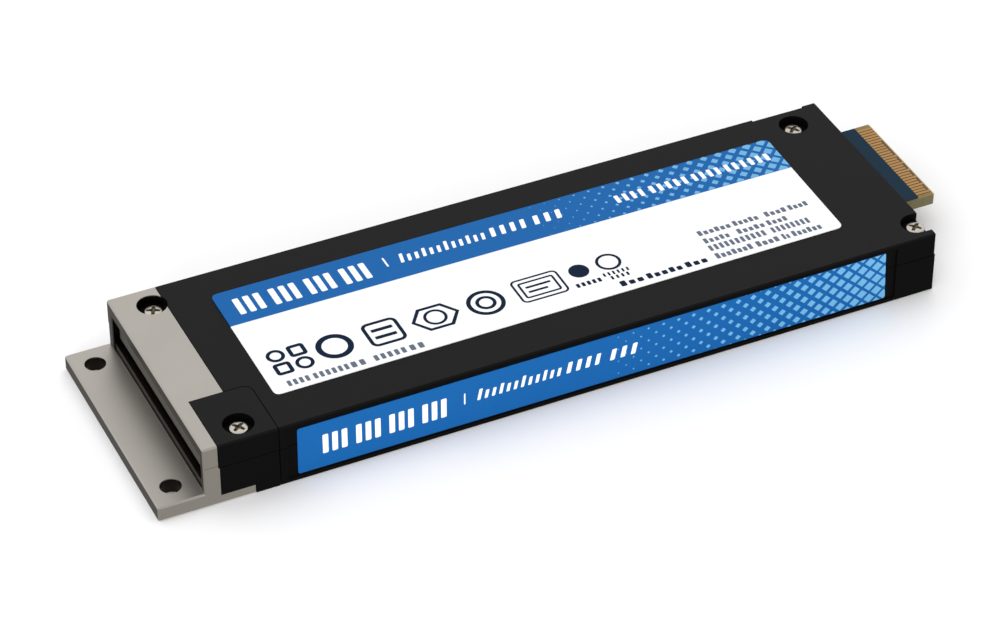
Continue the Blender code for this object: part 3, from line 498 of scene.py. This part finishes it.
def makeScrew(node, turn, offset):
    # One grid carried round the axis. From the middle of the head outwards the height is a dome less the cross
    # recess, then the radius follows the rim, the flat under the head, the shank with a helical ridge and the
    # tapered end.
    low, high = boxOf(node)
    cx, cy = (low[:2] + high[:2]) / 2 + offset[:2]
    headRadius = (high[0] - low[0]) / 2
    top, tip = high[2] + offset[2], low[2]
    seat = high[2] - screwShape["head"]
    dome = screwShape["head"] - screwShape["rim"]
    rim = top - dome - seat
    a = np.linspace(0, 2 * np.pi, screwShape["around"], endpoint=False)[None, :]
    wide = np.ones_like(a)
    # head top: the height falls off as a flattened ellipse towards the rim, and the wings narrow outwards
    inner = np.linspace(0.0, 1.0, screwShape["headRings"])[1:, None]
    r = inner * headRadius * wide
    z = seat + rim + dome * np.sqrt(np.clip(1 - inner ** screwShape["domePower"], 0, 1)) * wide
    u = np.abs(r * np.cos(a - turn))
    v = np.abs(r * np.sin(a - turn))
    half, span = screwShape["crossWidth"] / 2, screwShape["crossSpan"] / 2
    reach = np.minimum(np.maximum(u, v) / span, 1.0)
    floorDepth = screwShape["crossDepth"] * (1 - 0.5 * reach)
    sideSlope, endSlope = screwShape["crossSlope"]
    wall = np.clip((half * (1.2 - 0.4 * reach) - np.minimum(u, v)) / sideSlope, 0, 1)
    ends = np.clip((span - np.maximum(u, v)) / endSlope, 0, 1)
    recess = wall * ends
    z = z - floorDepth * recess
    # rim, flat under the head, shank, point
    rimZ = np.linspace(seat + rim, seat, 6)[1:, None]
    flatR = np.linspace(headRadius, screwShape["shank"], 4)[1:, None]
    s = np.linspace(seat, tip, screwShape["along"])[1:, None]
    phase = (s / screwShape["pitch"] - a / (2 * np.pi)) % 1.0
    ridge = 1 - np.abs(2 * phase - 1)
    runIn = np.clip((seat - screwShape["threadFrom"] - s) / screwShape["threadFade"], 0, 1)
    taper = np.clip((s - tip) / screwShape["point"], 0, 1) * 0.5 + 0.5
    shankR = (screwShape["shank"] - screwShape["threadDepth"] * (1 - ridge) * runIn) * taper
    rings = np.concatenate([r, np.full((5, 1), headRadius) * wide, flatR * wide, shankR])
    levels = np.concatenate([z, rimZ * wide, np.full((3, 1), seat) * wide, s * wide])
    recessShades = np.concatenate([recess, np.zeros((rings.shape[0] - recess.shape[0], a.size))])
    count, around = rings.shape
    points = np.stack([cx + rings * np.cos(a), cy + rings * np.sin(a), levels], axis=-1).reshape(-1, 3)
    middles = [[cx, cy, top - screwShape["crossDepth"]], [cx, cy, tip]]
    verts = np.concatenate([points, middles]) * mm
    i, j = np.meshgrid(np.arange(count - 1), np.arange(around), indexing="ij")
    k = (j + 1) % around
    quads = np.stack([i * around + j, (i + 1) * around + j, (i + 1) * around + k, i * around + k], -1).reshape(-1, 4)
    ring = np.arange(around)
    following = (ring + 1) % around
    lastRow = (count - 1) * around
    first = np.stack([np.full(around, count * around), ring, following], axis=-1)
    last = np.stack([lastRow + following, lastRow + ring, np.full(around, count * around + 1)], axis=-1)
    obj = meshPiece(node + "_turned", verts, quads.tolist() + first.tolist() + last.tolist(), nickel, "nickel_screw")
    # painted shade: darkness of the cross, read by the nickel finish
    shade = obj.data.attributes.new("recess", "FLOAT", "POINT")
    shade.data.foreach_set("value", np.append(recessShades.ravel(), [1.0, 0.0]).astype(np.float32))
    obj.data.shade_smooth()
    obj.data.set_sharp_from_angle(angle=math.radians(50))
    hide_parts(node)


for node, (turn, offset) in screws.items():
    makeScrew(node, math.radians(turn), np.array(offset))
print("screws ready")


# labels: cut sheets, and on them word blocks, plain shapes, and a halftone of small squares

labels = {                         # corners in mm, from the lower left one, against the clock
    "top": ((-40.65, -10.72), (41.57, -10.3), (41.74, 4.55), (-40.56, 4.6)),
    "band": ((-40.56, 4.57), (41.74, 4.52), (41.82, 11.64), (-40.52, 11.7)),
    "side": ((-40.34, 0.9), (44.82, 0.9), (44.5, 8.4), (-40.28, 8.2)),
    "topCorner": 0.95,             # radius of the corners
    "sideCorner": 0.4,
    "cutCorner": 0.02,             # where the white sheet meets the blue band
    "inkThickness": 0.006,
}
halftones = {                      # mm; share of the grid's step that a square fills at the start, and its growth
    "limits": (0.08, 0.82),        # of that share
    "clear": 0.45,                 # squares nearer to a corner than this share of its radius are left out
    "top": {"start": (10.92, 10.17), "step": (1.1, 1.09), "from": 4.6, "share": (0.14, 0.0182), "lean": 0.0},
    "side": {"start": (8.15, 4.67), "step": (1.1, 1.003), "from": 4.0, "share": (0.16, 0.0168), "lean": -0.027},
}


def roundedLoop(x0, x1, y0, y1, radius, lean=0.0, steps=6):
    # Corner arcs of one radius joined by straight sides; lean shifts a point along x by its height times lean.
    quarter = np.linspace(0, np.pi / 2, steps + 1)
    angles = np.concatenate([quarter + np.pi * (1 + k / 2) for k in range(4)])
    centreX = np.repeat([x0 + radius, x1 - radius, x1 - radius, x0 + radius], steps + 1)
    centreY = np.repeat([y0 + radius, y0 + radius, y1 - radius, y1 - radius], steps + 1)
    x = centreX + radius * np.cos(angles)
    y = centreY + radius * np.sin(angles)
    return np.stack([x + lean * (y - y0), y], axis=-1)


def sheetLoop(corners, radii, steps=8):
    # At each corner a parabola runs between two points set back by the radius along both sides, and the corner
    # pulls it.
    corners = np.array(corners)
    before, after = np.roll(corners, 1, axis=0) - corners, np.roll(corners, -1, axis=0) - corners
    back = [d / np.linalg.norm(d, axis=1)[:, None] * np.array(radii)[:, None] for d in (before, after)]
    t = np.linspace(0, 1, steps + 1)[None, :, None]
    first, second = (corners + back[0])[:, None], (corners + back[1])[:, None]
    loop = (1 - t) ** 2 * first + 2 * t * (1 - t) * corners[:, None] + t ** 2 * second
    return loop.reshape(-1, 2)


def regularLoop(cx, cy, rx, ry, sides):  # even polygon inside an ellipse
    a = np.linspace(0, 2 * np.pi, sides, endpoint=False)
    return np.stack([cx + rx * np.cos(a), cy + ry * np.sin(a)], axis=-1)


def platePiece(name, solids, frames, material, slot, place):
    # Every shape is a closed plate: the loop at the lower level and again one thickness out. A frame has an outer
    # and an inner loop, and the band between them is a closed ring. place turns label coordinates and level into
    # metres.
    verts, faces, total = [], [], 0
    for loop in solids:
        n = len(loop)
        verts += [place(loop, 0), place(loop, 1)]
        ring = np.arange(n)
        following = (ring + 1) % n
        faces.append((total + ring[::-1]).tolist())
        faces.append((total + n + ring).tolist())
        faces += np.stack([total + ring, total + following, total + n + following, total + n + ring], -1).tolist()
        total += 2 * n
    for outer, inner in frames:
        n = len(outer)
        verts += [place(outer, 0), place(outer, 1), place(inner, 1), place(inner, 0)]
        ring = np.arange(n)
        following = (ring + 1) % n
        for row in range(4):
            a, b = total + row * n, total + (row + 1) % 4 * n
            faces += np.stack([a + ring, a + following, b + following, b + ring], -1).tolist()
        total += 4 * n
    return meshPiece(name, np.concatenate(verts), faces, material, slot)


def onTop(base, thickness=labels["inkThickness"]):  # label coordinates are x and y, seen from above
    def place(loop, level):
        z = np.full(len(loop), base + level * thickness)
        return np.stack([loop[:, 0], loop[:, 1], z], axis=-1) * mm
    return place


def onSide(base, thickness=labels["inkThickness"]):  # label coordinates are x and z, seen from the near side
    def place(loop, level):
        y = np.full(len(loop), base - level * thickness)
        return np.stack([loop[:, 0], y, loop[:, 1]], axis=-1) * mm
    return place


def makeSheets():
    (low, high), (sideLow, sideHigh) = boxOf("top_label"), boxOf("side_label")
    bandTop = boxOf("top_label_band")[1][2]
    r, s, cut = labels["topCorner"], labels["sideCorner"], labels["cutCorner"]
    sheets = (
        ("top_label", "top", (r, r, cut, cut), whiteVinyl, "white_label", onTop(low[2], high[2] - low[2])),
        ("top_label_band", "band", (cut, cut, r, r), blueVinyl, "blue_label", onTop(low[2], bandTop - low[2])),
        ("side_label", "side", (s, s, s, s), blueVinyl, "blue_label", onSide(sideHigh[1], sideHigh[1] - sideLow[1])),
    )
    for node, corners, radii, material, slot, place in sheets:
        piece = platePiece(node + "_sheet", [sheetLoop(labels[corners], radii)], [], material, slot, place)
        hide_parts(node)


def halftoneSquares(spec, corners, radius):
    # Squares stood on their corner, centred on every second point of a grid. Their size is a share of the grid's
    # step that grows along x. Each is cut to the sheet's four sides, and left out where the sheet's corner is
    # rounded off.
    i, j = np.meshgrid(np.arange(-60, 60), np.arange(-12, 13), indexing="ij")
    keep = (i + j) % 2 == 0
    cy = spec["start"][1] + j[keep] * spec["step"][1]
    cx = spec["start"][0] + i[keep] * spec["step"][0] + spec["lean"] * (cy - spec["start"][1])
    base, slope = spec["share"]
    share = np.clip(base + slope * (cx - spec["start"][0]), *halftones["limits"])
    rx, ry = share * spec["step"][0], share * spec["step"][1]
    low, high = np.min(corners, axis=0), np.max(corners, axis=0)
    inside = (cx > spec["from"]) & (cx - rx < high[0]) & (cy + ry > low[1]) & (cy - ry < high[1])
    loops = []
    for px, py, ax, ay in zip(cx[inside], cy[inside], rx[inside], ry[inside]):
        loop = [(px + ax, py), (px, py + ay), (px - ax, py), (px, py - ay)]
        for k, start in enumerate(corners):
            loop = cutLoop(loop, start, corners[(k + 1) % len(corners)])
        if len(loop) >= 3:
            middle = np.mean(np.array(loop), axis=0)
            away = np.linalg.norm(np.array(corners) - middle, axis=1).min()
            if away > halftones["clear"] * radius:
                loops.append(np.array(loop))
    return loops


def cutLoop(loop, start, end):  # keeps the part of a convex loop on the left of a line from start to end
    def side(p):
        return (end[0] - start[0]) * (p[1] - start[1]) - (end[1] - start[1]) * (p[0] - start[0])
    out = []
    for k, p in enumerate(loop):
        q = loop[(k + 1) % len(loop)]
        dp, dq = side(p), side(q)
        if dp >= 0:
            out.append(p)
        if dp * dq < 0:
            t = dp / (dp - dq)
            out.append((p[0] + t * (q[0] - p[0]), p[1] + t * (q[1] - p[1])))
    return out


def words(spans, y0, y1, pitch, share, lean=0.0, heights=(1.0,)):
    # Each span is a row of equal upright blocks about one pitch apart, which fill a share of it; their heights
    # follow the given shares in turn.
    loops = []
    for a, b in spans:
        count = max(2, round((b - a) / pitch))
        step = (b - a) / (count - 1 + share)
        for k in range(count):
            x = a + k * step
            top = y0 + (y1 - y0) * heights[k % len(heights)]
            loops.append(roundedLoop(x, x + step * share, y0, top, 0.2 * step * share, lean, 2))
    return loops


def bar(x0, x1, y0, y1, radius=0.1):
    return roundedLoop(x0, x1, y0, y1, radius)


def frameLoops(x0, x1, y0, y1, radius, line):
    return (roundedLoop(x0, x1, y0, y1, radius),
            roundedLoop(x0 + line, x1 - line, y0 + line, y1 - line, max(radius - line, 0.05)))


def ringLoops(cx, cy, rx, ry, line, sides=48):
    return regularLoop(cx, cy, rx, ry, sides), regularLoop(cx, cy, rx - line, ry - line, sides)


mixedHeights = (1.0, 0.74, 0.74, 0.92, 0.74, 0.74)  # of the blocks in a word in small letters


def makeTopPrint():
    sheet = boxOf("top_label")[1][2]
    bandTop = boxOf("top_label_band")[1][2]
    squares = halftoneSquares(halftones["top"], labels["band"], labels["topCorner"])
    platePiece("band_halftone", squares, [], paleInk, "blue_label", onTop(bandTop))
    above = bandTop + labels["inkThickness"] * 0.5
    blocks = words([(x, x + 3.7) for x in (-38.4, -33.4, -28.4, -23.4)], 6.25, 9.7, 1.25, 0.6)
    blocks += [bar(-17.12, -16.86, 7.5, 9.5)]
    blocks += words([(-15.1, -2.8)], 7.5, 9.4, 1.0, 0.45, 0.2, mixedHeights)
    blocks += words([(-1.9, 3.2), (4.5, 8.5)], 7.5, 9.4, 1.15, 0.45, 0.2)
    blocks += words([(16.7, 20.9), (21.9, 27.5), (28.4, 32.5), (33.4, 40.1)], 7.15, 8.8, 1.15, 0.5)
    platePiece("band_word_blocks", blocks, [], whiteInk, "blue_label", onTop(above))
    solids, frames = [], []
    for x, y in ((-38.87, -7.45), (-35.92, -4.7)):  # two small tiles and two small rings, crosswise
        frames.append(frameLoops(x, x + 2.4, y, y + 2.4, 0.5, 0.55))
    frames += [ringLoops(x, y, 1.25, 1.25, 0.5) for x, y in ((-37.67, -3.5), (-34.72, -6.25))]
    frames.append(ringLoops(-30.0, -4.85, 2.5, 2.5, 0.8))
    frames.append(frameLoops(-25.6, -20.6, -7.35, -2.35, 1.0, 0.5))
    frames.append(ringLoops(-15.8, -4.85, 3.4, 2.8, 0.55, 6))
    frames.append(ringLoops(-15.8, -4.85, 1.6, 1.6, 0.42))
    frames.append(ringLoops(-8.6, -4.9, 2.6, 2.6, 0.6))
    frames.append(ringLoops(-8.6, -4.9, 1.4, 1.4, 0.5))
    frames.append(frameLoops(-4.2, 2.6, -7.3, -2.3, 0.8, 0.32))
    frames.append(frameLoops(-3.4, 1.8, -6.5, -3.1, 0.4, 0.32))
    solids += [bar(-24.6, -21.6, -4.4, -3.8), bar(-24.6, -21.6, -5.9, -5.3)]
    solids += [bar(-2.6, 1.0, -4.5, -4.1), bar(-2.6, 0.2, -5.5, -5.1)]
    solids.append(regularLoop(5.3, -4.0, 1.4, 1.4, 40))
    frames.append(ringLoops(9.7, -3.85, 1.75, 1.75, 0.42))
    solids += words([(3.6, 7.2)], -7.25, -6.4, 0.75, 0.6)
    solids += words([(7.8, 11.5)], -6.6, -5.85, 0.6, 0.45) + words([(8.5, 11.1)], -7.55, -6.8, 0.6, 0.45)
    solids += words([(9.0, 12.3), (12.9, 18.0), (18.6, 21.7)], -9.45, -8.3, 0.98, 0.68, 0.0, mixedHeights)
    platePiece("label_marks", solids, frames, navyInk, "white_label", onTop(sheet))
    lines = words([(-38.4, -35.4), (-34.8, -30.0), (-29.6, -27.7), (-26.4, -22.0), (-21.4, -19.5)],
                  -9.9, -8.75, 0.85, 0.6)
    for y0, y1, share, heights, spans in (
            (-4.05, -2.95, 0.7, mixedHeights, [(23.2, 28.0), (28.5, 32.2), (33.3, 36.4), (36.9, 39.7)]),
            (-5.85, -4.75, 0.66, mixedHeights, [(23.2, 26.9), (28.2, 32.2), (32.7, 35.6)]),
            (-7.6, -6.4, 0.6, (1.0,), [(23.1, 31.5), (32.5, 38.1)]),
            (-9.45, -8.25, 0.7, mixedHeights, [(23.1, 28.5), (29.2, 32.5), (33.1, 34.1), (34.6, 38.9)])):
        lines += words(spans, y0, y1, 0.74, share, 0.0, heights)
    platePiece("label_text_blocks", lines, [], slateInk, "white_label", onTop(sheet))


def makeSidePrint():
    face = boxOf("side_label")[0][1]
    squares = halftoneSquares(halftones["side"], labels["side"], labels["sideCorner"])
    platePiece("side_halftone", squares, [], paleInk, "blue_label", onSide(face))
    above = face - labels["inkThickness"] * 0.5
    blocks = words([(x, x + 3.4) for x in (-36.9, -32.3, -27.7, -23.1)], 3.05, 6.1, 1.15, 0.6)
    blocks += [bar(-17.25, -17.05, 4.15, 5.95, 0.08)]
    blocks += words([(-15.4, -3.6)], 4.2, 5.95, 1.0, 0.45, 0.2, mixedHeights)
    blocks += words([(-2.7, 2.0), (3.6, 7.3)], 4.2, 5.95, 1.1, 0.45, 0.2)
    platePiece("side_word_blocks", blocks, [], whiteInk, "blue_label", onSide(above))


makeSheets()
makeTopPrint()
makeSidePrint()
print("labels and their print ready")
